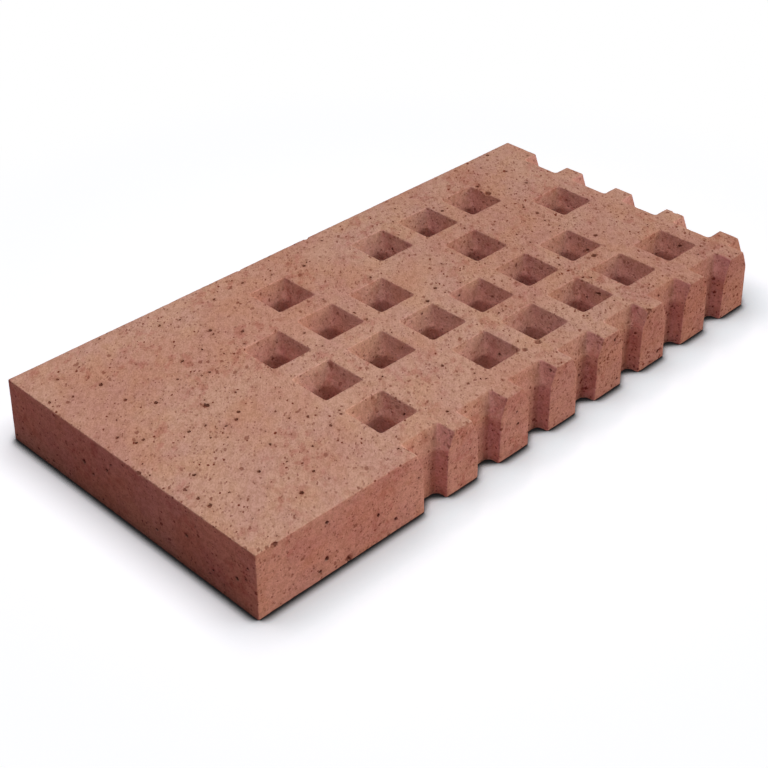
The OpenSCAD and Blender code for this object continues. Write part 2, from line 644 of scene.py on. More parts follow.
def between(steps, values):
    """Number of the step that each value lies beyond, and how far on to the next it is."""
    number = np.clip(np.searchsorted(steps, values, side="right") - 1, 0, len(steps) - 2)
    share = (values - steps[number]) / (steps[number + 1] - steps[number])
    return number, share[:, None]


class Wall:
    """A wall round an outline, whose points are given as (distance along it, height)."""

    def __init__(self, form, corners_at, rows, wear):
        self.heights, self.edge_rows, self.shoulder_rows = rows
        top = corners_at(self.heights[-1])
        ahead = np.roll(top, -1, axis=0)
        spans = np.abs(ahead - top)[:, :2].max(axis=1)
        chipped = [beside_chip(start, end) for start, end in zip(top[:, :2], ahead[:, :2])]
        steps = np.where(chipped, wear.chip_step, wear.edge_step)
        runs = np.maximum(1, np.round((spans - 2 * top[:, 2]) / steps)).astype(int)
        levels = [outline(corners_at(height), runs) for height in self.heights]
        self.grid = np.array([np.vstack([level, level[:1]]) for level in levels])
        steps = np.linalg.norm(np.diff(self.grid, axis=1), axis=2).mean(axis=0)
        self.stations = np.concatenate([[0], np.cumsum(steps)])
        in_arc = np.concatenate([
            np.arange(ARC_STEPS + run) <= ARC_STEPS for run in runs
        ])
        self.in_arc = np.append(in_arc, True)
        sides = np.array(section_at(slab_sections(form), self.heights[0])[:2])
        self.hollow = (sides - abs(self.grid[0]) > form.arris).all(axis=1)
        self.low = np.array((self.stations[0], self.heights[0]))
        self.high = np.array((self.stations[-1], self.heights[-1]))

    def place(self, points):
        """The points in space."""
        column, ahead = between(self.stations, points[:, 0])
        row, up = between(self.heights, points[:, 1])
        low = self.grid[row, column] * (1 - ahead) + self.grid[row, column + 1] * ahead
        high = self.grid[row + 1, column] * (1 - ahead) + self.grid[row + 1, column + 1] * ahead
        return np.column_stack([low * (1 - up) + high * up, points[:, 1]])

    def room(self, points):
        """Distance from each point to the nearest edge that is kept."""
        along, height = points[:, 0, None], points[:, 1, None]
        station = np.searchsorted(self.stations, points[:, 0]) - 1
        hollow = self.hollow[np.clip(station, 0, len(self.hollow) - 1)]
        to_post = abs(along - self.stations[self.in_arc]).min(axis=1)
        to_edge = abs(height - self.heights[self.edge_rows]).min(axis=1)
        to_shoulder = abs(height - self.heights[self.shoulder_rows]).min(axis=1)
        return np.minimum(np.minimum(to_post, to_edge), np.where(hollow, to_shoulder, np.inf))

    def found(self, marks):
        """The listed marks that lie on the wall, each with its point."""
        result = []
        for mark in listed(marks):
            nearest = np.argmin(np.linalg.norm(self.grid[-1] - mark[:2], axis=1))
            point = np.array((self.stations[nearest], mark[2]))
            if np.linalg.norm(self.place(point[None, :])[0] - mark[:3]) < mark[3]:
                result.append((mark, point))
        return result


class Face:
    """The bed face or the walking face, whose points are given as (x, y)."""

    def __init__(self, form, height):
        self.height = height
        half_x, half_y, _ = section_at(slab_sections(form), height)
        self.half_hole = section_at(hole_sections(form), height)[0]
        self.cells = np.array([cell_place(form, row, cell) for row, cell in CELLS])
        self.low, self.high = np.array(((-half_x, -half_y), (half_x, half_y)))

    def place(self, points):
        """The points in space."""
        return np.column_stack([points, np.full(len(points), self.height)])

    def room(self, points):
        """Distance from each point to the nearest edge."""
        inset = (self.high - abs(points)).min(axis=1)
        to_cell = abs(points[:, None, :] - self.cells).max(axis=2).min(axis=1) - self.half_hole
        return np.minimum(inset, to_cell)

    def found(self, marks):
        """The listed marks that lie on the face, each with its point."""
        return [(mark, mark[:2]) for mark in listed(marks) if abs(mark[2] - self.height) < MM]


# ---------------------------------------------------------------------------------------
# Patches of surface
# ---------------------------------------------------------------------------------------


class Patch:
    """A flat patch of surface: its points, how deep and how dark they are, and its creases."""

    def __init__(self):
        self.flat = np.zeros((0, 2))
        self.marks = np.zeros((0, 2))
        self.creases = []

    def add(self, flat, depth=0, stain_and_shade=0):
        """Adds points and returns their numbers."""
        first = len(self.flat)
        self.flat = np.vstack([self.flat, flat])
        marks = np.tile([depth, stain_and_shade], (len(flat), 1))
        self.marks = np.vstack([self.marks, marks])
        return list(range(first, first + len(flat)))

    def crease(self, numbers):
        """Keeps an edge between each point and the next."""
        self.creases += zip(numbers[:-1], numbers[1:])

    def triangles(self, rim, holes=()):
        """Triangles inside a rim, without those inside the holes."""
        points = [Vector(point) for point in self.flat]
        result = delaunay_2d_cdt(points, self.creases, [rim, *holes], 1, WELD)
        faces, sources, owners = result[2], result[3], result[5]
        if len(sources) != len(points):
            raise ValueError("two points of a patch fall on one place, or two creases cross")
        number = [source[0] for source in sources]
        return [
            [number[i] for i in face] for face, owner in zip(faces, owners) if len(owner) == 1
        ]


def scatter(low, high, step, draw):
    """Jittered points of a triangular grid over a rectangle."""
    across, up = np.meshgrid(
        np.arange(low[0], high[0], step), np.arange(low[1], high[1], step * HEX_RISE)
    )
    across[1::2] += step / 2
    points = np.column_stack([across.ravel(), up.ravel()])
    return points + draw.uniform(-JITTER, JITTER, points.shape) * step


def waves(points, to_the_metre, shift=(0, 0, 0)):
    """Height of a random wave at each point, from -1 to 1."""
    shift = Vector(shift)
    return np.array([noise.noise(Vector(point) * to_the_metre + shift) for point in points])


def crumbly(points):
    """How open and crumbly the clay is, from 0 to 1: most so towards the notched sides."""
    half = (HIGHEST - LOWEST) / 2
    along, across = points[:, 0] / half.x, points[:, 1] / half.y
    crumble = CRUMBLY_MEAN + CRUMBLY_CLOUD * waves(points, CLOUD_WAVES)
    crumble = crumble + CRUMBLY_ALONG * along - CRUMBLY_ACROSS * (1 + along) * across
    return np.clip(crumble, CRUMBLY_LEAST, 1)


def reach(pits):
    """Longest reach of pits (place, place, radius, stretch, turn, curl), land included."""
    return PIT_REACH * pits[..., 2] * np.sqrt(pits[..., 3]) + PIT_MARGIN


def clear_of(points, pits):
    """Which points lie clear of the pits."""
    gaps = np.linalg.norm(points[:, None, :] - pits[None, :, :2], axis=2)
    return (gaps > reach(pits)).all(axis=1)


def choose_pits(ground, wear, draw):
    """Pits with room on a wall or face: the listed ones first, then some by lot."""
    marks = [(*point, mark[3]) for mark, point in ground.found(LARGE_PITS)]
    low, high = ground.low, ground.high
    area = (high[0] - low[0]) * (high[1] - low[1])
    count = int(area * wear.pit_density / DECIMETRE ** 2)
    radius = wear.pit_radius + draw.exponential(wear.pit_spread, count)
    radius = -np.sort(-np.minimum(radius, wear.pit_limit))
    spots = draw.uniform(low, high, (count, 2))
    wanted = draw.uniform(0, 1, count) < crumbly(ground.place(spots))
    lots = np.column_stack([spots, radius])[wanted]
    pits = np.vstack([np.reshape(marks, (-1, 3)), lots])
    least, most = (1, 0, -MOST_CURL), (MOST_STRETCH, math.pi / 2, MOST_CURL)
    shapes = draw.uniform(least, most, (len(pits), 3))
    shapes[:len(marks), 0] = LISTED_STRETCH
    pits = np.column_stack([pits, shapes])
    chosen = pits[:0]
    for pit, free in zip(pits, ground.room(pits[:, :2])):
        gaps = np.linalg.norm(chosen[:, :2] - pit[:2], axis=1) - reach(chosen)
        if free > reach(pit) and (gaps > reach(pit) - PIT_MARGIN).all():
            chosen = np.vstack([chosen, pit])
    return chosen


def cut_pit(patch, pit, draw):
    """Adds a pit's rim and floor to a patch, and between them a steep wall if it is large."""
    x, y, radius, stretch, turn, curl = pit
    large = radius > LARGE_RADIUS
    sides = MANY_SIDES if large else FEW_SIDES
    shake = draw.uniform(-RIM_SHAKE, RIM_SHAKE, sides)
    angle = (np.arange(sides) + shake) * math.tau / sides
    reach_out = radius * draw.uniform(*RIM_RANGE, sides)
    half_length = radius * math.sqrt(stretch)
    long = reach_out * np.cos(angle) * math.sqrt(stretch)
    short = reach_out * np.sin(angle) / math.sqrt(stretch)
    bow = long ** 2 / half_length - CURL_CENTRE * half_length
    short += curl * (stretch - 1) / stretch * bow
    ring = np.column_stack([
        long * math.cos(turn) - short * math.sin(turn),
        long * math.sin(turn) + short * math.cos(turn),
    ])
    depth = radius * draw.uniform(*DEPTH_RANGE)
    stain_and_shade = draw.uniform(*(LARGE_STAIN_AND_SHADE if large else SMALL_STAIN_AND_SHADE))
    rim = patch.add((x, y) + ring, 0, RIM_STAIN_AND_SHADE * stain_and_shade)
    patch.crease(rim + rim[:1])
    if large:
        patch.add((x, y) + WALL_SHARE * ring, WALL_DEPTH * depth, stain_and_shade)
    patch.add([(x, y) + ring.mean(axis=0)], depth, stain_and_shade)


def mark_of(mesh, name):
    """One of a mesh's marks: a number for each of its points."""
    values = np.zeros(len(mesh.vertices))
    mesh.attributes[name].data.foreach_get("value", values)
    return values


def set_mark(mesh, name, values):
    """Gives a mesh a mark, or changes it."""
    mark = mesh.attributes.get(name) or mesh.attributes.new(name, "FLOAT", "POINT")
    mark.data.foreach_set("value", values.astype(float))


class Shell:
    """The patches of the surface, put in their place and joined."""

    def __init__(self):
        self.points, self.marks, self.faces = [], [], []
        self.count = 0

    def take(self, patch, points, faces):
        """Takes in a patch with its points in space."""
        self.faces += [[i + self.count for i in face] for face in faces]
        self.points.append(points)
        self.marks.append(patch.marks)
        self.count += len(points)

    def mesh(self, label):
        """One closed mesh that carries the depth of its points and their darkening, stain and
        painted shade, as marks.
        """
        mesh = bpy.data.meshes.new(label)
        mesh.from_pydata(np.concatenate(self.points), [], self.faces)
        for name, values in zip(("depth", "stain_and_shade"), np.concatenate(self.marks).T):
            set_mark(mesh, name, values)
        shape = bmesh.new()
        shape.from_mesh(mesh)
        bmesh.ops.remove_doubles(shape, verts=shape.verts, dist=WELD)
        bmesh.ops.recalc_face_normals(shape, faces=shape.faces)
        shape.to_mesh(mesh)
        shape.free()
        return mesh


# ---------------------------------------------------------------------------------------
# The tile
# ---------------------------------------------------------------------------------------


def wall_rows(form):
    """Heights of a wall's rows, and which of them follow an edge and which a shoulder."""
    slab, hole = slab_sections(form), hole_sections(form)
    bed = slab[:BEND_STEPS + 1:2, 3]
    lip = slab[BEND_STEPS + 1:, 3]
    shoulder = hole[1:BEND_STEPS + 2, 3]
    flare = np.linspace(shoulder[-1], lip[0], FLARE_ROWS)[1:-1]
    shaft = np.linspace(bed[-1], shoulder[0], SHAFT_ROWS)[1:-1]
    heights = np.concatenate([bed, shaft, shoulder, flare, lip])
    return heights, np.isin(heights, [*bed, *lip]), np.isin(heights, shoulder)


def loose_points(ground, low, high, step, least_room, draw):
    """Points scattered over a part of a wall or face, with room to its edges."""
    loose = scatter(low, high, step, draw)
    loose = loose[ground.room(loose) > least_room]
    return loose[(loose > ground.low).all(axis=1) & (loose < ground.high).all(axis=1)]


def fill(patch, ground, step, wear, draw):
    """Adds a patch's pits and the loose points between them, close together in chips."""
    pits = choose_pits(ground, wear, draw)
    loose = loose_points(ground, ground.low, ground.high, step, EDGE_MARGIN, draw)
    for chip, point in ground.found(CHIPS):
        across = CHIP_REACH * chip[3]
        near = loose_points(ground, point - across, point + across, wear.chip_step,
                            CHIP_ROOM * wear.chip_step, draw)
        near = near[np.linalg.norm(ground.place(near) - chip[:3], axis=1) < across]
        gaps = np.linalg.norm(ground.place(loose) - chip[:3], axis=1)
        loose = np.vstack([loose[gaps > across + wear.chip_step], near])
    patch.add(loose[clear_of(loose, pits)])
    for pit in pits:
        cut_pit(patch, pit, draw)


def lay_wall(shell, wall, wear, draw):
    """Adds a wall to the shell, with its pits."""
    creased_rows = wall.edge_rows | wall.shoulder_rows
    kept = wall.in_arc | wall.edge_rows[:, None] | (wall.shoulder_rows[:, None] & wall.hollow)
    patch = Patch()
    row, column = np.nonzero(kept)
    patch.add(np.column_stack([wall.stations[column], wall.heights[row]]))
    number = np.full(kept.shape, -1)
    number[row, column] = range(len(row))
    # Rows on an edge or a shoulder are creased along their length, round corners upwards
    beside = kept[:, :-1] & kept[:, 1:] & creased_rows[:, None]
    patch.creases += zip(number[:, :-1][beside], number[:, 1:][beside])
    above = kept[:-1] & kept[1:] & wall.in_arc
    patch.creases += zip(number[:-1][above], number[1:][above])
    fill(patch, wall, wear.face_step, wear, draw)
    rim = [*number[0], *number[1:-1, -1], *number[-1, ::-1], *number[-2:0:-1, 0]]
    faces = patch.triangles([int(i) for i in rim])
    shell.take(patch, wall.place(patch.flat), faces)


def lay_face(shell, face, walls, level, step, wear, draw):
    """Adds a face to the shell, with its pits, inside that level of the walls."""
    slab_rim, *hole_rims = [wall.grid[level] for wall in walls]
    patch = Patch()
    rim = patch.add(slab_rim[:-1])
    holes = [patch.add(hole_rim[:0:-1]) for hole_rim in hole_rims]
    fill(patch, face, step, wear, draw)
    faces = patch.triangles(rim, holes)
    shell.take(patch, face.place(patch.flat), faces)


def bite(place, normal, stain_and_shade, chip):
    """Bites a ball out of an edge and darkens the bite with stain and painted shade, by changing
    both arrays.
    """
    inside = np.linalg.norm(place - chip[:3], axis=1) < chip[3]
    outward = unit(normal[inside].mean(axis=0))
    ball = chip[:3] + CHIP_STANDOFF * chip[3] * outward
    from_ball = place - ball
    ahead = from_ball @ outward
    room = chip[3] ** 2 - (from_ball ** 2).sum(axis=1) + ahead ** 2
    push = ahead + np.sqrt(np.maximum(room, 0))
    bitten = (np.linalg.norm(from_ball, axis=1) < chip[3]) & (push > 0)
    crumbs = waves(place[bitten], CRUMB_WAVES)
    place[bitten] -= outward * (push[bitten] * (1 + CRUMB_DEPTH * crumbs))[:, None]
    stain_and_shade[bitten] = np.maximum(stain_and_shade[bitten], CHIP_STAIN_AND_SHADE + CRUMB_STAIN_AND_SHADE * crumbs)


def hole_marks(form, place, normal):
    """How much the clay takes a hole's tint, which is painted shade, at each point, and how much
    the shaft's colour, which is painted fill light.
    """
    hole = hole_sections(form)
    cells = np.array(CELLS)
    middles = np.column_stack(cell_place(form, *cells.T))
    aside = abs(place[:, None, :2] - middles).max(axis=2)
    whole = aside[:, cells.all(axis=1)].min(axis=1) < form.mouth_width / 2
    outline_half = np.interp(place[:, 2], hole[:, 3], hole[:, 0])
    inside = aside.min(axis=1) < outline_half + HOLE_MARGIN
    depth = np.clip((form.thickness - place[:, 2]) / form.flare_depth, 0, 1)
    # Of a notch's walls, only the two that run inwards take the shaft's colour
    in_side_notch = cells[aside.argmin(axis=1), 0] == 0
    sideways = abs(np.where(in_side_notch, normal[:, 0], normal[:, 1])) > FACING
    flared = np.where(whole, 1, NOTCH_HOLLOW * (inside & (depth < 1)))
    hollow = flared * (1 - HOLLOW_FADE * depth)
    return hollow, inside * np.where(whole, depth, sideways)


def edginess(mesh, normal):
    """How much each point lies on an edge, from 0 to 1, by how the surface turns there."""
    edges = np.array([edge.vertices[:] for edge in mesh.edges])
    turned = np.einsum("ij,ij->i", normal[edges[:, 0]], normal[edges[:, 1]])
    turn = np.zeros(len(mesh.vertices))
    np.maximum.at(turn, edges.ravel(), np.repeat(1 - turned, 2))
    return np.clip(turn / EDGE_TURN, 0, 1)


def edge_wear(place, crumble, wear):
    """How deep an edge would be worn and nicked at each point."""
    worn = np.clip(waves(place, WEAR_WAVES, WEAR_SHIFT), 0, 1)
    worn = worn + NICK_SHARE * np.clip(waves(place, NICK_WAVES, NICK_SHIFT), 0, 1)
    return worn * (SOUND_WEAR + crumble) * wear.ragged


def weather(mesh, form, wear):
    """Presses in the pits, and gives the faces their slow waves and the edges their wear."""
    place, normal = np.zeros((2, len(mesh.vertices) * 3))
    mesh.vertices.foreach_get("co", place)
    mesh.vertex_normals.foreach_get("vector", normal)
    place, normal = place.reshape(-1, 3), normal.reshape(-1, 3)
    depth, stain_and_shade = mark_of(mesh, "depth"), mark_of(mesh, "stain_and_shade")
    crumble = crumbly(place)
    hollow, deep = hole_marks(form, place, normal)
    swell = waves(place, DRYING_WAVES) * wear.swell * (place[:, 2] > BED_MARGIN)
    worn = edge_wear(place, crumble, wear) * edginess(mesh, normal)
    for chip in listed(CHIPS):
        bite(place, normal, stain_and_shade, chip)
    place -= normal * (depth + worn - swell)[:, None]
    mesh.vertices.foreach_set("co", place.ravel())
    mesh.attributes.remove(mesh.attributes["depth"])
    marks = {"stain_and_shade": stain_and_shade, "crumble": crumble, "hollow": hollow, "deep": deep}
    for name, values in marks.items():
        set_mark(mesh, name, values)
    mesh.update()


def tile_mesh(form, wear):
    """The tile's whole surface."""
    draw = np.random.default_rng(wear.seed)
    slab, hole = slab_sections(form), hole_sections(form)
    rows = wall_rows(form)
    walls = [Wall(form, lambda z: slab_corners(form, slab, hole, z), rows, wear)]
    for row, cell in CELLS:
        if row and cell:
            place = cell_place(form, row, cell)
            walls.append(Wall(form, lambda z: hole_corners(form, hole, place, z), rows, wear))
    shell = Shell()
    for wall in walls:
        lay_wall(shell, wall, wear, draw)
    for level, step in ((-1, wear.face_step), (0, wear.bed_step)):
        face = Face(form, walls[0].heights[level])
        lay_face(shell, face, walls, level, step, wear, draw)
    mesh = shell.mesh("terracotta_tile")
    weather(mesh, form, wear)
    mesh.shade_smooth()
    mesh.set_sharp_from_angle(angle=SHARP_ANGLE)
    return mesh


# ---------------------------------------------------------------------------------------
# Fired clay
# ---------------------------------------------------------------------------------------


class Nodes:
    """A node tree being wired up."""

    def __init__(self, tree):
        self.tree = tree

    def add(self, kind, inputs=None, **settings):
        """Adds a node. An input given as a socket is linked, any other is its value."""
        node = self.tree.nodes.new(kind)
        for name, value in settings.items():
            setattr(node, name, value)
        for name, value in (inputs or {}).items():
            if isinstance(value, bpy.types.NodeSocket):
                self.tree.links.new(value, node.inputs[name])
            else:
                node.inputs[name].default_value = value
        return node

    def math(self, operation, first, second=0.0):
        """A Math node's value."""
        return self.add("ShaderNodeMath", {0: first, 1: second}, operation=operation).outputs[0]

    def vector(self, operation, first, second=(0, 0, 0)):
        """A Vector Math node's vector."""
        inputs = {0: first, 1: second}
        return self.add("ShaderNodeVectorMath", inputs, operation=operation).outputs[0]

    def ramp(self, value, start, end, low=0.0, high=1.0):
        """A value eased from low to high while it goes from start to end."""
        inputs = {"Value": value, "From Min": start, "From Max": end, "To Min": low, "To Max": high}
        kind = "ShaderNodeMapRange"
        return self.add(kind, inputs, interpolation_type="SMOOTHSTEP").outputs["Result"]

    def mix(self, share, first, second, blend="MIX"):
        """One colour laid over another by a share, in the colour sockets of a Mix node."""
        inputs = {0: share, 6: first, 7: second}
        return self.add("ShaderNodeMix", inputs, data_type="RGBA", blend_type=blend).outputs[2]


def node_group(name, inputs, outputs):
    """An empty shader node group with number inputs and outputs, and its wiring."""
    tree = bpy.data.node_groups.new(name, "ShaderNodeTree")
    for label, value in inputs.items():
        socket = tree.interface.new_socket(label, in_out="INPUT", socket_type="NodeSocketFloat")
        socket.default_value = value
    for label in outputs:
        tree.interface.new_socket(label, in_out="OUTPUT", socket_type="NodeSocketFloat")
    nodes = Nodes(tree)
    return tree, nodes, nodes.add("NodeGroupInput").outputs, nodes.add("NodeGroupOutput").inputs


def drawn_out(nodes, stretch, shift):
    """Places in the tile's own space, shifted, for a pattern drawn out along a diagonal."""
    spot = nodes.add("ShaderNodeTexCoord").outputs["Object"]
    turned = nodes.add("ShaderNodeVectorRotate", {
        "Vector": spot, "Angle": math.radians(-45),
    }, rotation_type="Z_AXIS")
    squeeze = nodes.add("ShaderNodeCombineXYZ", {
        "X": nodes.math("DIVIDE", 1.0, stretch), "Y": 1.0, "Z": 1.0,
    })
    squeezed = nodes.vector("MULTIPLY", turned.outputs[0], squeeze.outputs[0])
    return nodes.vector("ADD", squeezed, shift)


def blotch_group():
    """Blotches of a given size, from 0 to 1 over the surface."""
    tree, nodes, given, put = node_group("Clay Blotches", {"Size": 0.05, "Place": 0.0}, ["Tone"])
    texture = nodes.add("ShaderNodeTexNoise", {
        "Vector": drawn_out(nodes, DRAWN_OUT, given["Place"]),
        "Scale": nodes.math("DIVIDE", 1.0, given["Size"]),
        "Detail": 3.0,
        "Roughness": 0.55,
    })
    tree.links.new(nodes.ramp(texture.outputs["Fac"], *BLOTCH_RANGE), put["Tone"])
    return tree


def speck_group():
    """Ragged dark specks. A cell of a given size holds one, or none by the share."""
    inputs = {
        "Cell": 0.004, "Radius": 0.0006, "Share": 0.5, "Place": 0.0, "Stretch": DRAWN_OUT,
    }
    tree, nodes, given, put = node_group("Clay Specks", inputs, ["Mask"])
    spot = drawn_out(nodes, given["Stretch"], given["Place"])
    scale = nodes.math("DIVIDE", 1.0, given["Cell"])
    wobble = nodes.add("ShaderNodeTexNoise", {
        "Vector": spot, "Scale": nodes.math("MULTIPLY", scale, SPECK_WAVES), "Detail": 2.0,
    })
    push = nodes.vector("SUBTRACT", wobble.outputs["Color"], (0.5, 0.5, 0.5))
    push = nodes.vector("MULTIPLY", push, nodes.math("MULTIPLY", given["Cell"], SPECK_PUSH))
    cells = nodes.add("ShaderNodeTexVoronoi", {
        "Vector": nodes.vector("ADD", spot, push), "Scale": scale, "Randomness": 1.0,
    }).outputs
    lot = nodes.add("ShaderNodeSeparateColor", {"Color": cells["Color"]}).outputs
    distance = nodes.math("MULTIPLY", cells["Distance"], given["Cell"])
    size = nodes.math("MULTIPLY", given["Radius"], nodes.ramp(lot["Green"], 0, 1, *SPECK_SIZES))
    inside = nodes.ramp(nodes.math("DIVIDE", distance, size), *SPECK_EDGE, 1.0, 0.0)
    chosen = nodes.math("LESS_THAN", lot["Red"], given["Share"])
    strength = nodes.ramp(lot["Blue"], 0, 1, *SPECK_STRENGTHS)
    mask = nodes.math("MULTIPLY", nodes.math("MULTIPLY", inside, chosen), strength)
    tree.links.new(mask, put["Mask"])
    return tree


def opaque(colour):
    """A colour with the full alpha that a colour socket wants."""
    return (*colour, 1.0)


class ClayNodes(Nodes):
    """The wiring of the clay's material, with where on the tile a point lies."""

    def __init__(self, tree, finish):
        super().__init__(tree)
        self.finish = finish
        self.blotches, self.specks = blotch_group(), speck_group()
        geometry = self.add("ShaderNodeNewGeometry").outputs
        self.normal = self.add("ShaderNodeSeparateXYZ", {"Vector": geometry["Normal"]}).outputs
        spot = self.add("ShaderNodeTexCoord").outputs["Object"]
        self.along = self.add("ShaderNodeSeparateXYZ", {"Vector": spot}).outputs["X"]
        self.notched = self.ramp(self.along, *NOTCHED_HALF)
        self.crumble, self.hollow = self.mark("crumble"), self.mark("hollow")
        # Hole walls that face the plain end, which take the painted shade tint
        to_plain_end = self.math("MAXIMUM", self.math("MULTIPLY", self.normal["X"], -1.0), 0.0)
        self.endways = self.math("MULTIPLY", self.hollow, to_plain_end)

    def mark(self, name):
        """One of the marks that the mesh carries."""
        return self.add("ShaderNodeAttribute", attribute_name=name).outputs["Fac"]

    def blotch(self, size, place, start, end):
        """Blotches that rise from 0 to 1 between two tones."""
        inputs = {"Size": size, "Place": place}
        tone = self.add("ShaderNodeGroup", inputs, node_tree=self.blotches).outputs["Tone"]
        return self.ramp(tone, start, end)

    def speck(self, cell, radius, share, place, stretch=DRAWN_OUT):
        """Specks, fewer where the clay is sound."""
        inputs = {
            "Cell": cell, "Radius": radius, "Place": place, "Stretch": stretch,
            "Share": self.math("MULTIPLY", self.crumble, share * self.finish.speck_share),
        }
        return self.add("ShaderNodeGroup", inputs, node_tree=self.specks).outputs["Mask"]

    def tinted(self, share, colour, tint):
        """A colour that keeps only the tint's part of it, by a share."""
        return self.mix(share, colour, self.mix(1.0, colour, opaque(tint), "MULTIPLY"))


def clay_colour(nodes):
    """Colour of the clay by face, by hole, by end and by cloud. The split by face is painted light
    and shade, the tints of holes and ends are painted shade, and the shaft's paler colour is
    painted fill light.
    """
    finish = nodes.finish
    # Painted light and shade: faces that look up take the paler clay, the others the redder one
    upward = nodes.ramp(nodes.normal["Z"], *UPWARD)
    clay = nodes.mix(upward, opaque(finish.shaded_side_clay), opaque(finish.lit_top_clay))
    # Painted fill light: deep in the holes the clay turns paler and greyer
    clay = nodes.mix(nodes.mark("deep"), clay, opaque(finish.shaft))
    # Painted shade: hole walls that face the plain end turn redder
    clay = nodes.tinted(nodes.endways, clay, finish.hollow)
    # Painted shade: darker towards the notched end, as the light falls off along the tile
    clay = nodes.tinted(nodes.notched, clay, finish.notched_half_shade)
    # Painted shade on the notched half's walls that run along the length
    sideways = nodes.math("ABSOLUTE", nodes.normal["Y"])
    clay = nodes.tinted(nodes.math("MULTIPLY", nodes.notched, sideways), clay, finish.notched_side_shade)
    for name, (size, place, start, end) in CLOUDS.items():
        clay = nodes.tinted(nodes.blotch(size * MM, place, start, end), clay, getattr(finish, name))
    small = nodes.blotch(size=7.5 * MM, place=9, start=0.45, end=1)
    patches = nodes.blotch(size=45 * MM, place=12, start=0.3, end=0.9)
    return nodes.tinted(nodes.math("MULTIPLY", small, patches), clay, finish.smudge)


def clay_grain(nodes):
    """Fine grain of two sizes, from 0 to 1."""
    coarse = nodes.blotch(size=4.5 * MM, place=5, start=0, end=1)
    fine = nodes.blotch(size=1.5 * MM, place=8, start=0, end=1)
    return nodes.math("ADD", nodes.math("MULTIPLY", coarse, COARSE_GRAIN),
                      nodes.math("MULTIPLY", fine, FINE_GRAIN))


def grain_tone(nodes, grain):
    """What the grain makes of the clay's colour, a little lighter or darker."""
    contrast = nodes.finish.grain_contrast
    swing = nodes.ramp(grain, 0.1, 0.9, -contrast, contrast)
    channels = {
        channel: nodes.math("ADD", nodes.math("MULTIPLY", swing, warmth), 1.0)
        for channel, warmth in WARMTH.items()
    }
    return nodes.add("ShaderNodeCombineColor", channels).outputs["Color"]


def clay_specks(nodes):
    """How dark the clay's specks are: the darkest of five layers, each with its strength."""
    # Fine ones, common ones, large ones, streaks and the coarse ones of the notched half
    layers = (
        (0.6, nodes.speck(cell=2.6 * MM, radius=1.03 * MM, share=1, place=0.4)),
        (1.0, nodes.speck(cell=3.6 * MM, radius=1.3 * MM, share=1.2, place=0)),
        (1.0, nodes.speck(cell=7.5 * MM, radius=2.1 * MM, share=1, place=1.7)),
        (0.7, nodes.speck(cell=3.4 * MM, radius=1 * MM, share=0.4, place=2.9, stretch=2.8)),
        (nodes.notched, nodes.speck(cell=5.2 * MM, radius=1.8 * MM, share=1, place=4.3)),
    )
    dots = 0.0
    for strength, layer in layers:
        dots = nodes.math("MAXIMUM", dots, nodes.math("MULTIPLY", layer, strength))
    upright = nodes.ramp(nodes.along, *NOTCHED_HALF, *UPRIGHT_SPECKS)
    return nodes.math("MULTIPLY", dots, nodes.ramp(nodes.normal["Z"], *UPWARD, upright))


def fired_clay(finish):
    """Matt terracotta: paler on the walking face and redder on the sides, which is painted light
    and shade, and dark in specks and pits, the pits partly with painted shade.
    """
    material = bpy.data.materials.new("Fired terracotta")
    material.use_nodes = True
    tree = material.node_tree
    shader = tree.nodes["Principled BSDF"]
    nodes = ClayNodes(tree, finish)
    grain, dots = clay_grain(nodes), clay_specks(nodes)
    clay = nodes.mix(1.0, clay_colour(nodes), grain_tone(nodes, grain), "MULTIPLY")

    # Specks are the clay's own dark grains, and the darkening of pits and chips is partly stain and
    # partly painted shade
    dark = nodes.math("MAXIMUM", dots, nodes.math("MULTIPLY", nodes.mark("stain_and_shade"), PIT_STAIN_AND_SHADE))
    # The holes' walls that face the plain end are sheltered, and all those of the notched half
    notched_hole = nodes.math("MULTIPLY", nodes.hollow, nodes.notched)
    sheltered = nodes.math("MAXIMUM", nodes.endways, notched_hole)
    dark = nodes.math("MULTIPLY", dark, nodes.ramp(sheltered, 0.0, 0.5, 1.0, SHELTERED_SPECKS))
    clay = nodes.mix(dark, clay, opaque(finish.pit))
    tree.links.new(clay, shader.inputs["Base Color"])

    tree.links.new(nodes.ramp(grain, 0.0, 1.0, *ROUGHNESS), shader.inputs["Roughness"])
    height = nodes.math("SUBTRACT", nodes.math("MULTIPLY", grain, GRAIN_RELIEF), dots)
    bump = nodes.add("ShaderNodeBump", {
        "Height": height, "Distance": RELIEF_DEPTH, "Strength": RELIEF,
    })
    tree.links.new(bump.outputs["Normal"], shader.inputs["Normal"])
    shader.inputs["Specular IOR Level"].default_value = SHEEN
    return material


# ---------------------------------------------------------------------------------------
# Studio
# ---------------------------------------------------------------------------------------


def seen_directly(nodes):
    """Whether a ray shows the background itself: straight, mirrored or through glass."""
    path = nodes.add("ShaderNodeLightPath").outputs
    mirrored = nodes.math("MAXIMUM", path["Is Glossy Ray"], path["Is Transmission Ray"])
    return nodes.math("MAXIMUM", path["Is Camera Ray"], mirrored)


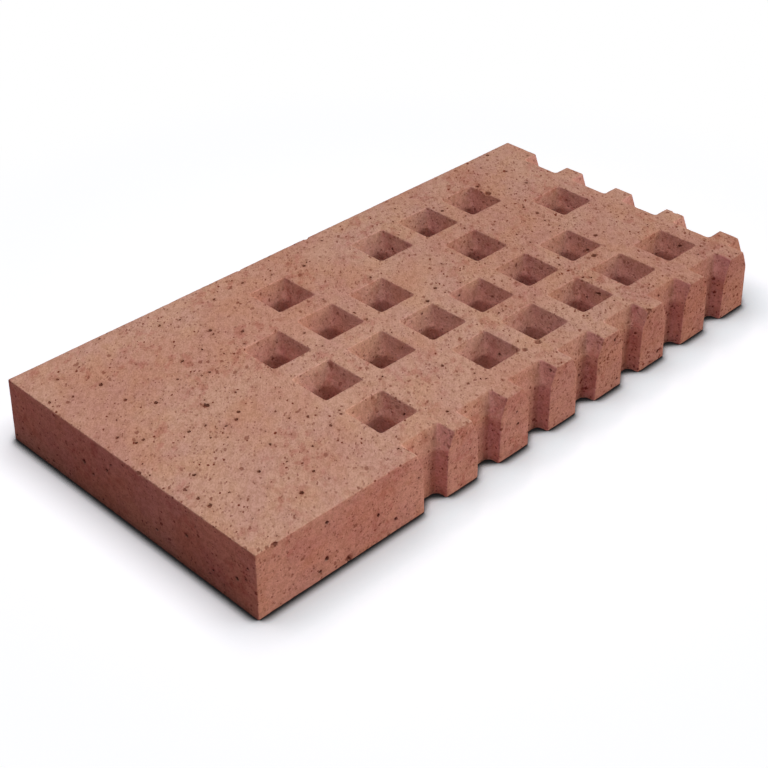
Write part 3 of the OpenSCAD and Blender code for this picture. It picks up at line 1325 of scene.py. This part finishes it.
def floor_material(stage):
    """Floor that shows as white with the tile's soft shadow, partly cast by the overhead lamp and
    partly painted from ambient occlusion, and lights the tile as clay does.
    """
    material = bpy.data.materials.new("Studio floor")
    material.use_nodes = True
    tree = material.node_tree
    tree.nodes.remove(tree.nodes["Principled BSDF"])
    nodes = Nodes(tree)

    def beside(reach, direction, start, end, least=0.0, samples=6):
        """A value that rises to 1 away from the tile, which is felt for in one direction: painted
        shade from an ambient occlusion node.
        """
        open_sky = nodes.add("ShaderNodeAmbientOcclusion", {
            "Distance": reach, "Normal": nodes.vector("NORMALIZE", direction),
        }, samples=samples)
        return nodes.ramp(open_sky.outputs["AO"], start, end, least, 1.0)

    # Painted shadow on the floor, from ambient occlusion: a dark line along the tile's foot and
    # dark floor in the holes
    painted_contact_shadow = beside(stage.contact_reach, UPRIGHT, start=0.54, end=0.98,
                     least=stage.contact_grey, samples=16)
    painted_hole_shadow = beside(stage.shade_reach, UPRIGHT, start=0.1, end=0.35, least=0.15)
    shadow = nodes.math("MULTIPLY", painted_contact_shadow, painted_hole_shadow)
    white = nodes.math("MULTIPLY", shadow, stage.floor_white)
    bluish = nodes.math("MULTIPLY", white, COOLNESS)
    grey = nodes.add("ShaderNodeCombineColor", {"Red": white, "Green": white, "Blue": bluish})
    # Painted shade on the floor beside the notched side, from ambient occlusion
    open_front = beside(stage.shade_reach, FROM_NOTCHES, start=0.63, end=0.98)
    shade = nodes.mix(open_front, opaque(stage.shade), (1, 1, 1, 1))
    colour = nodes.mix(1.0, grey.outputs["Color"], shade, "MULTIPLY")
    shaded = nodes.add("ShaderNodeBsdfDiffuse", {"Color": colour})
    spot = nodes.add("ShaderNodeNewGeometry").outputs["Position"]
    far = nodes.add("ShaderNodeVectorMath", {0: spot}, operation="LENGTH").outputs["Value"]
    plain = nodes.add("ShaderNodeEmission", {"Color": (1, 1, 1, 1), "Strength": 1.0})
    seen = nodes.add("ShaderNodeMixShader", {
        0: nodes.ramp(far, *OPEN_FLOOR), 1: shaded.outputs["BSDF"], 2: plain.outputs["Emission"],
    })
    # Painted shadow, from ambient occlusion, on the floor that lights the tile: dimmer close to the
    # plain end and side
    clear = beside(stage.bounce_reach, FROM_PLAIN, start=0.45, end=0.85)
    bounce = nodes.mix(clear, opaque(stage.near_bounce), opaque(stage.bounce))
    felt = nodes.add("ShaderNodeBsdfDiffuse", {"Color": bounce})
    both = nodes.add("ShaderNodeMixShader", {
        0: seen_directly(nodes), 1: felt.outputs["BSDF"], 2: seen.outputs["Shader"],
    })
    output = tree.nodes["Material Output"]
    tree.links.new(both.outputs["Shader"], output.inputs["Surface"])
    return material


def studio_world(stage):
    """World that shows as white and gives a faint, even light."""
    world = bpy.data.worlds.new("Studio")
    world.use_nodes = True
    tree = world.node_tree
    background = tree.nodes["Background"]
    nodes = Nodes(tree)
    colour = nodes.mix(seen_directly(nodes), opaque(stage.sky), (1, 1, 1, 1))
    tree.links.new(colour, background.inputs["Color"])
    return world


def area_lamp(name, target, azimuth, elevation, distance, size, share):
    """A square lamp that gives a level face at the target this share of full light."""
    lamp = bpy.data.lights.new(name, "AREA")
    lamp.size = size
    # Light on that face for each unit of the lamp's radiance
    spread = size / 2 / math.hypot(size / 2, distance)
    felt = 4 * spread * math.atan(spread) * math.sin(elevation)
    lamp.energy = share * (math.pi * size) ** 2 / felt
    piece = bpy.data.objects.new(name, lamp)
    outward = Vector((
        math.cos(elevation) * math.cos(azimuth),
        math.cos(elevation) * math.sin(azimuth),
        math.sin(elevation),
    ))
    piece.location = target + outward * distance
    piece.rotation_euler = outward.to_track_quat("Z", "Y").to_euler()
    bpy.context.scene.collection.objects.link(piece)
    return piece


def spare(lamp, piece):
    """Keeps a lamp's light off one piece."""
    spared = bpy.data.collections.new(f"Not lit by {lamp.name}")
    spared.objects.link(piece)
    spared.collection_objects[0].light_linking.link_state = "EXCLUDE"
    lamp.light_linking.receiver_collection = spared


def studio_camera(stage, middle):
    """Camera at the given angle, aimed at a point near the middle of the tile."""
    camera = bpy.data.cameras.new("Camera")
    camera.lens = stage.lens
    camera.sensor_width = SENSOR_WIDTH
    piece = bpy.data.objects.new("Camera", camera)
    back = Vector((
        math.sin(stage.azimuth) * math.cos(stage.elevation),
        -math.cos(stage.azimuth) * math.cos(stage.elevation),
        math.sin(stage.elevation),
    ))
    piece.location = middle + Vector(stage.aim) + back * stage.distance
    piece.rotation_euler = (math.pi / 2 - stage.elevation, 0, stage.azimuth)
    bpy.context.scene.collection.objects.link(piece)
    bpy.context.scene.camera = piece


# ---------------------------------------------------------------------------------------
# Operators and panel
# ---------------------------------------------------------------------------------------


class BORDERTILE_OT_tile(bpy.types.Operator):
    """Model the weathered tile in place of the plain slab"""

    bl_idname = "border_tile.make_tile"
    bl_label = "Make Tile"
    bl_options = {"REGISTER", "UNDO"}

    def execute(self, context):
        scene = context.scene
        mesh = tile_mesh(scene.tile_form, scene.tile_wear)
        mesh.materials.append(fired_clay(scene.tile_finish))
        piece = bpy.data.objects.new("terracotta_tile", mesh)
        scene.collection.objects.link(piece)
        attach(piece, "root")
        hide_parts(NODE)
        return {"FINISHED"}


class BORDERTILE_OT_stage(bpy.types.Operator):
    """Set up the floor, the lamps and the camera"""

    bl_idname = "border_tile.set_stage"
    bl_label = "Set Stage"
    bl_options = {"REGISTER", "UNDO"}

    def execute(self, context):
        scene = context.scene
        stage = scene.tile_stage
        middle = (LOWEST + HIGHEST) / 2
        bpy.ops.mesh.primitive_plane_add(size=FLOOR_SIZE, location=(middle.x, middle.y, LOWEST.z))
        floor = context.object
        floor.name = "studio_floor"
        floor.data.materials.append(floor_material(stage))
        key = area_lamp("Key", middle, stage.key_azimuth, stage.key_elevation,
                        stage.key_distance, stage.key_size, stage.key)
        spare(key, floor)
        area_lamp("Overhead", middle, 0, math.pi / 2,
                  stage.overhead_distance, stage.overhead_size, stage.overhead)
        scene.world = studio_world(stage)
        studio_camera(stage, middle)
        scene.view_settings.view_transform = "Standard"
        return {"FINISHED"}


class BORDERTILE_PT_panel(bpy.types.Panel):
    """Sizes, wear, colours and stage of the border tile"""

    bl_idname = "BORDERTILE_PT_panel"
    bl_label = "Border Tile"
    bl_space_type = "VIEW_3D"
    bl_region_type = "UI"
    bl_category = "Border Tile"

    def draw(self, context):
        layout = self.layout
        scene = context.scene
        for settings in (scene.tile_form, scene.tile_wear, scene.tile_finish):
            box = layout.box()
            for name in settings.__annotations__:
                box.prop(settings, name)
        layout.operator(BORDERTILE_OT_tile.bl_idname)
        box = layout.box()
        for name in scene.tile_stage.__annotations__:
            box.prop(scene.tile_stage, name)
        layout.operator(BORDERTILE_OT_stage.bl_idname)


SETTINGS = {
    "tile_form": TileForm,
    "tile_wear": TileWear,
    "tile_finish": TileFinish,
    "tile_stage": StageSettings,
}
CLASSES = (*SETTINGS.values(), BORDERTILE_OT_tile, BORDERTILE_OT_stage, BORDERTILE_PT_panel)


def register():
    """Registers the classes and puts the settings on the scene."""
    for cls in CLASSES:
        bpy.utils.register_class(cls)
    for name, settings in SETTINGS.items():
        setattr(bpy.types.Scene, name, bpy.props.PointerProperty(type=settings))


def unregister():
    """Takes the settings off the scene and the classes out."""
    for name in SETTINGS:
        delattr(bpy.types.Scene, name)
    for cls in reversed(CLASSES):
        bpy.utils.unregister_class(cls)


def main():
    """Makes everything."""
    register()
    bpy.ops.border_tile.make_tile()
    bpy.ops.border_tile.set_stage()


if __name__ == "__main__":
    main()
